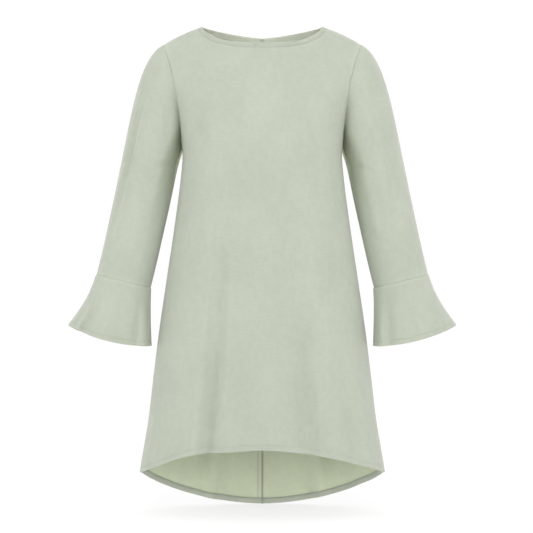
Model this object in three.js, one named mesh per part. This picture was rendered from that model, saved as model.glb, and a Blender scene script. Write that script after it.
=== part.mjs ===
import * as THREE from 'three';

// Long sleeved shift dress with bell cuffs and a dipped hem, hollow, in the shape it has when worn.
// Millimetres. X runs across the dress, Y from its front to its back, Z up.
// The origin lies midway between the two shoulder seams, where the wearer's shoulders carry it.
// Every piece is one surface of points, the right side of the cloth, given a wall towards the inside.

// Cloth
const CLOTH = 1.6;
const HEM_FOLD = 3;
const HEM_STEP = 0.6;
const BINDING_FOLD = 2.4;
const BINDING_RAISED = 0.4;
const SEAM_GAP = 0.3;
const VALLEY_RISE = 0.5;
const STEEPEST_EDGE = 0.7;
const BODY_HEM = 10.5;
const CUFF_HEM = 10;

// Shoulder line, armhole and neckline
const NECK_POINT = { x: 113, z: 16 };
const SHOULDER_POINT = { x: 187, z: -18 };
const UNDERARM = { x: 151.5, z: -218 };
const SHOULDER_BULGE = 3;
const SHOULDER_ROUND = 60;
const BINDING_WIDTH = 9.5;
const NECK_DROP = { front: 36, back: 15.2 };
// How square the middle of a curved edge is, and how blunt its ends are
const NECK_POWER = { front: { middle: 3, ends: 1.6 }, back: { middle: 1.3, ends: 1 } };
const ARMHOLE_DEPTH = { front: 50, back: 55 };
const ARMHOLE_POWER = { front: 2, back: 1.4 };
const ARMHOLE_LEAN = 0.25;
// How steeply the body turns into the armhole: at the shoulder, and how much more at the underarm
const ARMHOLE_TURN = { shoulder: 4, underarm: 12 };

// Body: half width, and depth of the front and of the back, at each height
const BODY_POWER = 2.3;
const BODY_SECTIONS = [
  { z: 20, half: 212, front: 55, back: 48 },
  { z: -20, half: 202, front: 62, back: 68 },
  { z: -68, half: 187, front: 86, back: 89 },
  { z: -118, half: 173, front: 109, back: 99 },
  { z: -168, half: 160, front: 125, back: 101 },
  { z: -218, half: 151.5, front: 133, back: 99 },
  { z: -275, half: 155, front: 134, back: 95 },
  { z: -366, half: 167, front: 131, back: 93 },
  { z: -457, half: 180.5, front: 131, back: 99 },
  { z: -548, half: 194, front: 133, back: 107 },
  { z: -640, half: 205.7, front: 135, back: 116 },
  { z: -731, half: 216.6, front: 137, back: 125 },
  { z: -830, half: 232.8, front: 139, back: 133 },
  { z: -910, half: 240, front: 141, back: 139 },
];
const HEM_SIDE = -829.5;
const HEM_CENTRE = { front: -776.3, back: -905.5 };
const HEM_POWER = { front: { middle: 1.7, ends: 1.3 }, back: { middle: 1.8, ends: 1.4 } };
const HEM_LIFT = { side: 'front', share: -0.6, width: 0.8, rise: 6 };

// Soft folds of the skirt. Each starts at a height and a share of the half width, and runs down to
// the other; depth is positive for a trough and negative for a ridge.
const FRONT_FOLDS = [
  { top: -440, bottom: -800, from: -0.4, to: -0.49, width: 0.2, depth: 6 },
  { top: -500, bottom: -730, from: 0.27, to: 0.37, width: 0.16, depth: 4 },
  { top: -520, bottom: -830, from: 0.74, to: 0.8, width: 0.2, depth: 5 },
  { top: -560, bottom: -840, from: -0.8, to: -0.84, width: 0.18, depth: 4 },
];
const BACK_FOLDS = [
  { top: -400, bottom: -900, from: -0.36, to: -0.44, width: 0.24, depth: 7 },
  { top: -460, bottom: -900, from: 0.42, to: 0.5, width: 0.22, depth: 6 },
  { top: -560, bottom: -880, from: 0.78, to: 0.82, width: 0.18, depth: 4 },
];

// Sleeve head: the way it leaves the armhole at the middle of the front or back, how much that
// changes up to the shoulder, and how far the way out and the way into the arm reach
const LEAVING = { out: 0.6, side: 0.5, down: 0.72, reach: 32 };
const LEAVING_AT_SHOULDER = { out: 0.32, down: -0.3, reach: 16 };
const ARRIVING = { reach: 60, atShoulder: 48 };

// Sleeve: tilt is the slope of a ring, seen from the front, and runs up towards the outside
const UPPER_RING = { x: 216, y: 3, z: -252, wide: 53.5, deep: 58, tilt: 12.4 };
const SLEEVE_RINGS = [
  { x: 227, y: 1, z: -306, wide: 53.5, deep: 56, tilt: 12.4 },
  { x: 238.5, y: -3, z: -360, wide: 53.2, deep: 53.5, tilt: 12.8 },
  { x: 250, y: -8, z: -413, wide: 53, deep: 51.5, tilt: 13.4 },
  { x: 262.2, y: -14, z: -466, wide: 52.8, deep: 50, tilt: 13.9 },
];
const CUFF_RING = { x: 288, y: -20, z: -569, wide: 81.5, deep: 68, tilt: 14.2 };
const CUFF_DIP = 8;
const CUFF_WAIST = { outside: 6, inside: 1 };
const CUFF_FOLDS = {
  left: [
    { angle: 58, width: 30, depth: 7 },
    { angle: 92, width: 34, depth: -3 },
    { angle: 205, width: 36, depth: 6 },
    { angle: 290, width: 40, depth: 8 },
  ],
  right: [
    { angle: 132, width: 26, depth: 6 },
    { angle: 154, width: 24, depth: -3 },
    { angle: 66, width: 36, depth: 4 },
    { angle: 236, width: 40, depth: 8 },
    { angle: 312, width: 34, depth: 6 },
  ],
};

// Centre back seam allowance, pressed to the left on the inside
const ALLOWANCE_WIDTH = 8.8;
const ALLOWANCE_THICK = 1.2;
const ALLOWANCE_ACROSS = [0.04, 0.5, 1];
const ALLOWANCE_CLEAR = 0.03;

// Grid of each piece
const NECK_COLUMNS = 7;
const SHOULDER_COLUMNS = 5;
const HALF_COLUMNS = NECK_COLUMNS + SHOULDER_COLUMNS;
const SKIRT_ROWS = 12;
const ARMHOLE_ROWS = 12;
const CAP_ROWS = 7;
const CUFF_ROWS = 5;

const lerp = THREE.MathUtils.lerp;
const radians = THREE.MathUtils.degToRad;

// Value of a column of a table at a height, on a smooth curve through its rows.
function columnAt(table, name, z) {
  const last = table.length - 2;
  let row = 0;
  while (row < last && z < table[row + 1].z) {
    row += 1;
  }
  const above = table[row];
  const below = table[row + 1];
  const span = below.z - above.z;
  const slope = (first, second) => (second[name] - first[name]) / (second.z - first.z);
  const slopeAbove = slope(table[Math.max(row - 1, 0)], below);
  const slopeBelow = slope(above, table[Math.min(row + 2, table.length - 1)]);
  const t = THREE.MathUtils.clamp((z - above.z) / span, 0, 1);
  const rest = 1 - t;
  return (
    above[name] * rest * rest * (1 + 2 * t) +
    below[name] * t * t * (3 - 2 * t) +
    span * t * rest * (slopeAbove * rest - slopeBelow * t)
  );
}

// Height of a rounded edge curve, 1 at its middle and 0 at its ends.
function arch(share, power) {
  return Math.pow(Math.max(0, 1 - Math.pow(Math.abs(share), power)), 1 / power);
}

// How far down a curved edge lies at a share of its half width, 1 at its middle and 0 at its ends.
function edgeCurve(share, { middle, ends }) {
  return Math.pow(Math.max(0, 1 - Math.pow(share, middle)), 1 / ends);
}

// A soft bump, 1 at its middle and 0 beyond half its width.
function bump(distance, width) {
  const t = Math.min(1, Math.abs(distance) / (width / 2));
  return (1 + Math.cos(Math.PI * t)) / 2;
}

// The shoulder seam sinks from the neck to the arm and bulges a little between them.
function shoulderLine(x) {
  const share = (Math.abs(x) - NECK_POINT.x) / (SHOULDER_POINT.x - NECK_POINT.x);
  const bulge = SHOULDER_BULGE * Math.max(0, 4 * share * (1 - share));
  return lerp(NECK_POINT.z, SHOULDER_POINT.z, share) + bulge;
}

function armholeHalf(side, rise) {
  return lerp(UNDERARM.x, SHOULDER_POINT.x, Math.pow(rise, ARMHOLE_POWER[side]));
}

function armholeDepth(side, rise) {
  return ARMHOLE_DEPTH[side] * 2 * Math.sqrt(rise * (1 - rise));
}

// Depth of the unfolded body in front of, or behind, the plane through its side seams.
function bodyDepth(side, x, z) {
  const half = columnAt(BODY_SECTIONS, 'half', z);
  const depth = columnAt(BODY_SECTIONS, side, z);
  const section = (across) => {
    const fall = Math.min(1, (shoulderLine(across) - z) / SHOULDER_ROUND);
    return depth * arch(Math.min(1, across / half), BODY_POWER) * arch(1 - Math.max(0, fall), 2);
  };
  const across = Math.abs(x);
  const rise = (z - UNDERARM.z) / (SHOULDER_POINT.z - UNDERARM.z);
  if (rise <= 0 || rise >= 1) {
    return section(across);
  }
  const edge = armholeHalf(side, rise);
  const shift = armholeDepth(side, rise) - section(edge);
  const turn = ARMHOLE_TURN.shoulder + ARMHOLE_TURN.underarm * (1 - rise);
  return section(across) + shift * Math.pow(across / edge, turn);
}

// How far the folds push the skirt in at a share of its half width.
function foldDepth(folds, share, z) {
  return folds.reduce((sum, fold) => {
    const run = THREE.MathUtils.clamp((fold.top - z) / (fold.top - fold.bottom), 0, 1);
    const centre = lerp(fold.from, fold.to, run);
    const depth = fold.depth * Math.sin((Math.PI / 2) * Math.sqrt(run));
    return sum + depth * bump(share - centre, fold.width);
  }, 0);
}

function bodyPoint(side, x, z) {
  const sign = side === 'front' ? -1 : 1;
  const half = columnAt(BODY_SECTIONS, 'half', z);
  const depth = columnAt(BODY_SECTIONS, side, z);
  const y = sign * bodyDepth(side, x, z);
  const push = foldDepth(side === 'front' ? FRONT_FOLDS : BACK_FOLDS, x / half, z);
  const outward = new THREE.Vector3(x / (half * half), y / (depth * depth), 0).normalize();
  return new THREE.Vector3(x, y, z).addScaledVector(outward, -push);
}

// A point of the neck, from its finished edge (band 0) to the edge of the panels (band 1).
// Turn is 0 at the centre and 1 at the shoulder seam.
function neckPoint(side, turn, band) {
  const halfWidth = NECK_POINT.x + BINDING_WIDTH * band;
  const top = shoulderLine(halfWidth);
  const centre = NECK_POINT.z - NECK_DROP[side] - BINDING_WIDTH * band;
  const share = Math.sin((Math.PI / 2) * turn);
  return { x: halfWidth * share, z: lerp(top, centre, edgeCurve(share, NECK_POWER[side])) };
}

// Upper end of a column of a body panel, on the neck or on the shoulder seam.
function columnTop(side, column) {
  if (column <= NECK_COLUMNS) {
    return neckPoint(side, column / NECK_COLUMNS, 1);
  }
  const along = (column - NECK_COLUMNS) / SHOULDER_COLUMNS;
  const x = lerp(NECK_POINT.x + BINDING_WIDTH, SHOULDER_POINT.x, along);
  return { x, z: shoulderLine(x) };
}

// Share of the half width at which a column meets the underarm row, at even angles round it.
function columnShare(column) {
  const angle = (Math.PI / 2) * (column / HALF_COLUMNS);
  const reach = Math.pow(Math.sin(angle), BODY_POWER) + Math.pow(Math.abs(Math.cos(angle)), BODY_POWER);
  return column === HALF_COLUMNS ? 1 : Math.sin(angle) / Math.pow(reach, 1 / BODY_POWER);
}

// One column of a panel, from the hem up to the neck or the shoulder seam.
function panelColumn(side, column) {
  const across = Math.abs(column);
  const sign = Math.sign(column);
  const share = columnShare(across);
  const lifted = side === HEM_LIFT.side ? HEM_LIFT.rise : 0;
  const lift = lifted * bump(sign * share - HEM_LIFT.share, HEM_LIFT.width);
  const hem = lerp(HEM_SIDE, HEM_CENTRE[side], edgeCurve(share, HEM_POWER[side])) + lift;
  const heights = [hem, hem + BODY_HEM, hem + BODY_HEM + HEM_STEP];
  for (let row = 1; row <= SKIRT_ROWS; row += 1) {
    heights.push(lerp(hem, UNDERARM.z, row / SKIRT_ROWS));
  }
  const points = heights.map((z) => {
    return bodyPoint(side, sign * share * columnAt(BODY_SECTIONS, 'half', z), z);
  });
  const top = columnTop(side, across);
  for (let row = 1; row <= ARMHOLE_ROWS; row += 1) {
    const rise = (1 - Math.cos((Math.PI * row) / ARMHOLE_ROWS)) / 2;
    const x = lerp(share, top.x / SHOULDER_POINT.x, rise) * armholeHalf(side, rise);
    points.push(bodyPoint(side, sign * x, lerp(UNDERARM.z, top.z, rise)));
  }
  return points;
}

// Rows of points of a panel between two columns, counted from the centre.
function panelGrid(side, first, last) {
  const columns = [];
  for (let column = first; column <= last; column += 1) {
    columns.push(panelColumn(side, column));
  }
  return columns[0].map((_, row) => columns.map((points) => points[row]));
}

// A point of a sleeve ring. Angle 0 is the outside, 90 the front, 180 the inside, 270 the back.
function ringPoint(hand, ring, angle) {
  const across = ring.wide * Math.cos(radians(angle));
  return new THREE.Vector3(
    hand * (ring.x + across * Math.cos(radians(ring.tilt))),
    ring.y - ring.deep * Math.sin(radians(angle)),
    ring.z + across * Math.sin(radians(ring.tilt)),
  );
}

// Point of the armhole seam that a sleeve column starts from, and its angle round the sleeve.
function armholeStart(hand, column) {
  const side = column <= ARMHOLE_ROWS ? 'front' : 'back';
  const row = column <= ARMHOLE_ROWS ? ARMHOLE_ROWS - column : column - ARMHOLE_ROWS;
  const rise = (1 - Math.cos((Math.PI * row) / ARMHOLE_ROWS)) / 2;
  const z = lerp(UNDERARM.z, SHOULDER_POINT.z, rise);
  return {
    point: bodyPoint(side, hand * armholeHalf(side, rise), z),
    angle: (180 * column) / ARMHOLE_ROWS,
  };
}

// The sleeve leaves the armhole outwards and turns down into the arm, then follows its rings.
function sleeveColumn(hand, column) {
  const { point: start, angle } = armholeStart(hand, column);
  const end = ringPoint(hand, UPPER_RING, angle);
  const below = ringPoint(hand, SLEEVE_RINGS[0], angle);
  const cosine = Math.cos(radians(angle));
  const leaving = new THREE.Vector3(
    hand * (LEAVING.out + LEAVING_AT_SHOULDER.out * cosine),
    -LEAVING.side * Math.sin(radians(angle)),
    -LEAVING.down - LEAVING_AT_SHOULDER.down * cosine,
  ).normalize();
  const arriving = end.clone().sub(below).normalize();
  const curve = new THREE.CubicBezierCurve3(
    start,
    start.clone().addScaledVector(leaving, LEAVING.reach + LEAVING_AT_SHOULDER.reach * cosine),
    end.clone().addScaledVector(arriving, ARRIVING.reach + ARRIVING.atShoulder * cosine),
    end,
  );
  return [...curve.getPoints(CAP_ROWS), ...SLEEVE_RINGS.map((ring) => ringPoint(hand, ring, angle))];
}

function sleeveGrid(hand) {
  const columns = [];
  for (let column = 0; column < 2 * ARMHOLE_ROWS; column += 1) {
    columns.push(sleeveColumn(hand, column));
  }
  return columns[0].map((_, row) => columns.map((points) => points[row]));
}

// The bell cuff widens from the last ring of the sleeve to its own hem.
function cuffColumn(hand, folds, angle) {
  const start = ringPoint(hand, SLEEVE_RINGS[SLEEVE_RINGS.length - 1], angle);
  const end = ringPoint(hand, CUFF_RING, angle);
  end.z -= CUFF_DIP * Math.pow(Math.sin(radians(angle)), 2);
  const outward = new THREE.Vector3(hand * Math.cos(radians(angle)), -Math.sin(radians(angle)), 0);
  const length = start.distanceTo(end);
  const steps = [0];
  for (let row = 1; row < CUFF_ROWS; row += 1) {
    steps.push((row / CUFF_ROWS) * (1 - CUFF_HEM / length));
  }
  steps.push(1 - (CUFF_HEM + HEM_STEP) / length, 1 - CUFF_HEM / length, 1);
  return steps.map((t) => {
    const push = folds.reduce((sum, fold) => sum + fold.depth * bump(angle - fold.angle, fold.width), 0);
    const waist = lerp(CUFF_WAIST.inside, CUFF_WAIST.outside, (1 + Math.cos(radians(angle))) / 2);
    const inward = waist * Math.sin(Math.PI * t) + push * t * t * (3 - 2 * t);
    return start.clone().lerp(end, t).addScaledVector(outward, -inward);
  });
}

function cuffGrid(hand, folds) {
  const columns = [];
  for (let column = 0; column < 2 * ARMHOLE_ROWS; column += 1) {
    columns.push(cuffColumn(hand, folds, (180 * column) / ARMHOLE_ROWS));
  }
  return columns[0].map((_, row) => columns.map((points) => points[row]));
}

// The binding runs once round the neck, from the finished edge down to the panels.
function bindingGrid() {
  const ring = [];
  for (let column = -NECK_COLUMNS; column < NECK_COLUMNS; column += 1) {
    ring.push({ side: 'front', column });
  }
  for (let column = NECK_COLUMNS; column > -NECK_COLUMNS; column -= 1) {
    ring.push({ side: 'back', column });
  }
  return [0, 1].map((band) => ring.map(({ side, column }) => {
    const { x, z } = neckPoint(side, Math.abs(column) / NECK_COLUMNS, band);
    return bodyPoint(side, Math.sign(column) * x, z);
  }));
}

// Outward normals summed at each point, over all pieces. Where pieces meet they share one normal,
// so that both sides of a seam are cut along one line.
const seamNormals = new Map();

function keyOf(point) {
  return point.toArray().map((value) => Math.round(value * 1000) + 0).join(' ');
}

function cells(grid, closed) {
  const width = grid[0].length;
  const list = [];
  for (let row = 0; row + 1 < grid.length; row += 1) {
    for (let column = 0; column < (closed ? width : width - 1); column += 1) {
      const next = (column + 1) % width;
      list.push([[row, column], [row, next], [row + 1, next], [row + 1, column]]);
    }
  }
  return list;
}

// Adds the outward normals of a piece. Facing is 1 where its columns, rows and outside are right
// handed in that order, and -1 where they are left handed.
function gatherNormals(piece) {
  const { grid, closed, facing } = piece;
  piece.normals = new Map();
  const add = (sums, key, normal) => sums.set(key, (sums.get(key) ?? new THREE.Vector3()).add(normal));
  cells(grid, closed).forEach((corners) => {
    const [a, b, c, d] = corners.map(([row, column]) => grid[row][column]);
    const normal = c.clone().sub(a).cross(d.clone().sub(b)).multiplyScalar(facing);
    [a, b, c, d].forEach((point) => {
      add(seamNormals, keyOf(point), normal.clone());
      add(piece.normals, keyOf(point), normal.clone());
    });
  });
}

// Round the armhole the shared normal points away from the middle of the hole.
function setArmholeNormals(hand) {
  for (let column = 0; column < 2 * ARMHOLE_ROWS; column += 1) {
    const { point, angle } = armholeStart(hand, column);
    const cosine = Math.cos(radians(angle));
    const normal = new THREE.Vector3(
      hand * ARMHOLE_LEAN * (1 + cosine),
      -Math.sin(radians(angle)),
      cosine,
    );
    seamNormals.set(keyOf(point), normal);
  }
}

// Directions, square to the sewn edges that meet at a point of a grid, that lead into the piece.
// They are square to the first of the normals that doesn't run along the edge itself.
function waysInside({ grid, closed, sewn, facing }, row, column, normals) {
  const width = grid[0].length;
  const lastRow = grid.length - 1;
  const lastColumn = width - 1;
  const point = grid[row][column];
  const at = (line, place) => grid[line]?.[closed ? (place + width) % width : place];
  const steps = (before, after) => [
    ...(before ? [point.clone().sub(before)] : []),
    ...(after ? [after.clone().sub(point)] : []),
  ];
  const alongRow = steps(at(row, column - 1), at(row, column + 1));
  const alongColumn = steps(at(row - 1, column), at(row + 1, column));
  const edges = [
    { on: sewn.includes('start') && row === 0, along: alongRow, turn: -1 },
    { on: sewn.includes('end') && row === lastRow, along: alongRow, turn: 1 },
    { on: sewn.includes('left') && column === 0, along: alongColumn, turn: 1 },
    { on: sewn.includes('right') && column === lastColumn, along: alongColumn, turn: -1 },
  ];
  return edges.filter(({ on }) => on).flatMap(({ along, turn }) => along.map((step) => {
    const square = (normal) => Math.abs(step.clone().normalize().dot(normal)) < STEEPEST_EDGE;
    const normal = normals.find(square) ?? normals[0];
    return step.cross(normal).normalize().multiplyScalar(turn * facing);
  }));
}

// Moves the points of the sewn edges into their own piece, so that each seam stands open by its gap.
// Where a seam lies in a valley the two walls part by themselves, and each keeps its own normal.
function openSeams(piece) {
  return piece.grid.map((line, row) => line.map((point, column) => {
    const shared = seamNormals.get(keyOf(point)).clone().normalize();
    const own = piece.normals.get(keyOf(point)).clone().normalize();
    const ways = waysInside(piece, row, column, [shared, own]);
    if (ways.length === 0) {
      return { point, normal: own };
    }
    const first = ways[0];
    const last = ways[ways.length - 1];
    const shift = first.clone().add(last).multiplyScalar(SEAM_GAP / 2 / (1 + first.dot(last)));
    const rise = waysInside(piece, row, column, [own])[0].dot(shared);
    return { point: point.clone().add(shift), normal: rise > VALLEY_RISE ? own : shared };
  }));
}

// A closed solid between two grids of the same size.
function solidBetween(outer, inner, closed) {
  const width = outer[0].length;
  const rows = outer.length;
  const positions = [outer, inner].flatMap((grid) => grid.flat().flatMap((point) => point.toArray()));
  const indices = [];
  const quad = (a, b, c, d) => indices.push(a, b, c, a, c, d);
  const index = (layer, row, column) => layer * rows * width + row * width + (column % width);
  cells(outer, closed).forEach((corners) => {
    quad(...corners.map(([row, column]) => index(0, row, column)));
    quad(...corners.map(([row, column]) => index(1, row, column)).reverse());
  });
  for (let column = 0; column < (closed ? width : width - 1); column += 1) {
    const next = column + 1;
    const end = rows - 1;
    quad(index(0, 0, next), index(0, 0, column), index(1, 0, column), index(1, 0, next));
    quad(index(0, end, column), index(0, end, next), index(1, end, next), index(1, end, column));
  }
  if (!closed) {
    const end = width - 1;
    for (let row = 0; row + 1 < rows; row += 1) {
      quad(index(0, row, 0), index(0, row + 1, 0), index(1, row + 1, 0), index(1, row, 0));
      quad(index(0, row + 1, end), index(0, row, end), index(1, row, end), index(1, row + 1, end));
    }
  }
  return turnedOutwards(positions, indices);
}

function turnedOutwards(positions, indices) {
  const corner = (index) => new THREE.Vector3().fromArray(positions, index * 3);
  let volume = 0;
  for (let i = 0; i < indices.length; i += 3) {
    const [a, b, c] = [corner(indices[i]), corner(indices[i + 1]), corner(indices[i + 2])];
    volume += a.dot(b.cross(c));
  }
  if (volume < 0) {
    indices.reverse();
  }
  const geometry = new THREE.BufferGeometry();
  geometry.setAttribute('position', new THREE.Float32BufferAttribute(positions, 3));
  geometry.setIndex(indices);
  geometry.computeVertexNormals();
  return geometry;
}

// The wall of a piece, as thick as each of its rows says.
function clothWall(piece) {
  const places = openSeams(piece);
  const layer = (depthOf) => places.map((line, row) => line.map(({ point, normal }) => {
    return point.clone().addScaledVector(normal, -depthOf(row));
  }));
  const outer = layer(() => -(piece.raised ?? 0));
  const inner = layer((row) => piece.thickness(row, places.length));
  return { geometry: solidBetween(outer, inner, piece.closed), inner, places };
}

// The allowance lies on the inside of the left back panel, along the centre back seam, and starts
// just above the hem.
function allowanceGeometry(backLeft) {
  const clear = BODY_HEM_ROWS - 1;
  const lines = backLeft.inner.slice(clear);
  lines[0] = lines[0].map((point, column) => point.clone().lerp(lines[1][column], ALLOWANCE_CLEAR));
  const layer = (depth) => lines.map((line, index) => {
    const seam = line[line.length - 1];
    const beside = line[line.length - 2];
    const { normal } = backLeft.places[index + clear][line.length - 1];
    const reach = ALLOWANCE_WIDTH / seam.distanceTo(beside);
    return ALLOWANCE_ACROSS.map((share) => {
      return seam.clone().lerp(beside, share * reach).addScaledVector(normal, -depth);
    });
  });
  return solidBetween(layer(SEAM_GAP), layer(SEAM_GAP + ALLOWANCE_THICK), false);
}

const BODY_HEM_ROWS = 3;
const bodyThickness = (row) => (row < BODY_HEM_ROWS - 1 ? HEM_FOLD : CLOTH);

const pieces = {
  front_body: {
    grid: panelGrid('front', -HALF_COLUMNS, HALF_COLUMNS),
    facing: 1,
    sewn: ['end', 'left', 'right'],
    thickness: bodyThickness,
  },
  back_left: {
    grid: panelGrid('back', -HALF_COLUMNS, 0),
    facing: -1,
    sewn: ['end', 'left', 'right'],
    thickness: bodyThickness,
  },
  back_right: {
    grid: panelGrid('back', 0, HALF_COLUMNS),
    facing: -1,
    sewn: ['end', 'left', 'right'],
    thickness: bodyThickness,
  },
  neck_binding: {
    grid: bindingGrid(),
    closed: true,
    facing: -1,
    sewn: ['end'],
    raised: BINDING_RAISED,
    thickness: () => BINDING_FOLD - BINDING_RAISED,
  },
};
for (const [name, hand] of [['left', -1], ['right', 1]]) {
  pieces[`sleeve_${name}`] = {
    grid: sleeveGrid(hand),
    closed: true,
    facing: hand,
    sewn: ['start', 'end'],
    thickness: () => CLOTH,
  };
  pieces[`cuff_${name}`] = {
    grid: cuffGrid(hand, CUFF_FOLDS[name]),
    closed: true,
    facing: hand,
    sewn: ['start'],
    thickness: (row, rows) => (row >= rows - 2 ? HEM_FOLD : CLOTH),
  };
}

const colours = {
  front_body: '#c5cdbb',
  back_left: '#c3cbb9',
  back_right: '#c3cbb9',
  neck_binding: '#c6cebc',
  sleeve_left: '#c2cab7',
  sleeve_right: '#c2cab7',
  cuff_left: '#c4ccba',
  cuff_right: '#c4ccba',
  back_seam_allowance: '#b0b8a0',
};

const dress = new THREE.Group();
dress.name = 'shift_dress';

function addPiece(name, geometry) {
  const material = new THREE.MeshStandardMaterial({
    color: colours[name],
    roughness: 0.92,
    metalness: 0,
  });
  const mesh = new THREE.Mesh(geometry, material);
  mesh.name = name;
  dress.add(mesh);
}

Object.values(pieces).forEach(gatherNormals);
setArmholeNormals(-1);
setArmholeNormals(1);
const walls = Object.entries(pieces).map(([name, piece]) => [name, clothWall(piece)]);
walls.forEach(([name, wall]) => addPiece(name, wall.geometry));
addPiece('back_seam_allowance', allowanceGeometry(Object.fromEntries(walls).back_left));

export default dress;
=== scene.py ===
"""A long sleeved shift dress with bell cuffs and a dipped hem, hollow, in the shape it has when worn.

Metres. X runs across the dress, Y from its front to its back, Z up. The origin lies midway between
the two shoulder seams. Each piece is a grid of points on the right side of the cloth, given a wall.
"""

import bmesh
import bpy
import numpy as np
from bpy.props import FloatProperty, FloatVectorProperty, IntProperty, PointerProperty
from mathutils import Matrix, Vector


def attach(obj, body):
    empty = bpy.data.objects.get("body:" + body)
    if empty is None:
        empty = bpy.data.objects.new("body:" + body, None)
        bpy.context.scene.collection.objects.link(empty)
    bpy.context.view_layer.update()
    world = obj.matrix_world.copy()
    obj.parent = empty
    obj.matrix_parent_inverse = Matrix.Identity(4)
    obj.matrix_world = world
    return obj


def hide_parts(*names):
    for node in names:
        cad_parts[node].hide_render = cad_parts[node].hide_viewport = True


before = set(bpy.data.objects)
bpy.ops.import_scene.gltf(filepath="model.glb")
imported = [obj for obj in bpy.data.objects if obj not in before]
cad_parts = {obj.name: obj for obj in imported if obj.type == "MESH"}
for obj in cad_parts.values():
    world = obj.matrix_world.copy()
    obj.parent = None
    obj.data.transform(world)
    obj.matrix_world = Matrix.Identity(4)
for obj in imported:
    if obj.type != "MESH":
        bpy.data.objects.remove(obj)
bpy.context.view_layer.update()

bl_info = {
    "name": "Shift dress",
    "version": (1, 0, 0),
    "blender": (4, 5, 0),
    "location": "View3D > Sidebar > Dress",
    "description": "Builds a long sleeved shift dress with bell cuffs, piece by piece",
    "category": "Add Mesh",
}


def table(names, *rows):
    """A short table as one array for each of its named columns."""
    return dict(zip(names.split(), np.array(rows).T))


# ---- Sizes of the cut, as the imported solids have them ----

SEAM_GAP = 0.00005
SIGN = {"front": -1, "back": 1}
NECK_POINT = (0.113, 0.016)
SHOULDER_POINT = (0.187, -0.018)
UNDERARM = (0.1515, -0.218)
SHOULDER_BULGE = 0.003
SHOULDER_ROUND = 0.060
BINDING_WIDTH = 0.0095
NECK_DROP = {"front": 0.036, "back": 0.0152}
NECK_POWER = {"front": (3, 1.6), "back": (1.3, 1)}
ARMHOLE_DEPTH = {"front": 0.050, "back": 0.055}
ARMHOLE_POWER = {"front": 2, "back": 1.4}
ARMHOLE_TURN = (4, 12)
ARMHOLE_LEAN = 0.25
BODY_POWER = 2.3
BODY_SECTIONS = table(
    "z half front back",
    (0.020, 0.2120, 0.055, 0.048),
    (-0.020, 0.2020, 0.062, 0.068),
    (-0.068, 0.1870, 0.086, 0.089),
    (-0.118, 0.1730, 0.109, 0.099),
    (-0.168, 0.1600, 0.125, 0.101),
    (-0.218, 0.1515, 0.133, 0.099),
    (-0.275, 0.1550, 0.134, 0.095),
    (-0.366, 0.1670, 0.131, 0.093),
    (-0.457, 0.1805, 0.131, 0.099),
    (-0.548, 0.1940, 0.133, 0.107),
    (-0.640, 0.2057, 0.135, 0.116),
    (-0.731, 0.2166, 0.137, 0.125),
    (-0.830, 0.2328, 0.139, 0.133),
    (-0.910, 0.2400, 0.141, 0.139),
)
HEM_SIDE = -0.8295
HEM_CENTRE = {"front": -0.7763, "back": -0.9055}
HEM_POWER = {"front": (1.7, 1.3), "back": (1.8, 1.4)}
HEM_LIFT = {"share": -0.6, "width": 0.8, "rise": 0.006}
LEAVING = {"out": 0.6, "side": 0.5, "down": 0.72, "reach": 0.032}
LEAVING_AT_SHOULDER = {"out": 0.32, "down": -0.3, "reach": 0.016}
ARRIVING = {"reach": 0.060, "at_shoulder": 0.048}
SLEEVE_RINGS = table(
    "z x y wide deep tilt",
    (-0.252, 0.2160, 0.003, 0.0535, 0.0580, 12.4),
    (-0.306, 0.2270, 0.001, 0.0535, 0.0560, 12.4),
    (-0.360, 0.2385, -0.003, 0.0532, 0.0535, 12.8),
    (-0.413, 0.2500, -0.008, 0.0530, 0.0515, 13.4),
    (-0.466, 0.2622, -0.014, 0.0528, 0.0500, 13.9),
)
CUFF_RING = {"x": 0.288, "y": -0.020, "z": -0.569, "wide": 0.0815, "deep": 0.068, "tilt": 14.2}
CUFF_DIP = 0.008
CUFF_WAIST = (0.001, 0.006)
CUFF_STEP = {"height": 0.0011, "start": 0.03, "reach": 0.16}

# ---- Soft folds. Depth is positive for a trough and negative for a ridge ----

FOLD_ONSET = 1.5
CREASE_SPAN = 1.3
UNDERARM_BLEND = 0.03
SEAM_REST = 0.12
FOLDS = {
    "front": table(
        "top bottom start end width depth",
        (-0.320, -0.800, -0.41, -0.46, 0.24, 0.0240),
        (-0.420, -0.800, 0.37, 0.40, 0.26, 0.0180),
        (-0.540, -0.720, 0.22, 0.22, 0.14, -0.0030),
        (-0.520, -0.830, 0.72, 0.78, 0.24, 0.0070),
        (-0.560, -0.840, -0.80, -0.84, 0.20, 0.0050),
    ),
    "back": table(
        "top bottom start end width depth",
        (-0.340, -0.900, -0.36, -0.44, 0.26, 0.0170),
        (-0.400, -0.900, 0.42, 0.50, 0.24, 0.0150),
        (-0.520, -0.880, 0.78, 0.82, 0.20, 0.0070),
    ),
}
CREASES = {
    "front": table(
        "x z to_x to_z width depth",
        (0.152, -0.070, 0.176, -0.110, 0.008, 0.0020),
        (-0.130, -0.140, -0.108, -0.230, 0.022, 0.0040),
        (-0.132, -0.285, -0.166, -0.385, 0.020, 0.0090),
        (0.130, -0.250, 0.162, -0.355, 0.016, 0.0070),
    ),
    "back": table(
        "x z to_x to_z width depth",
        (-0.120, -0.180, -0.020, -0.340, 0.030, 0.0040),
        (0.130, -0.170, 0.040, -0.320, 0.028, 0.0045),
    ),
}
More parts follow.
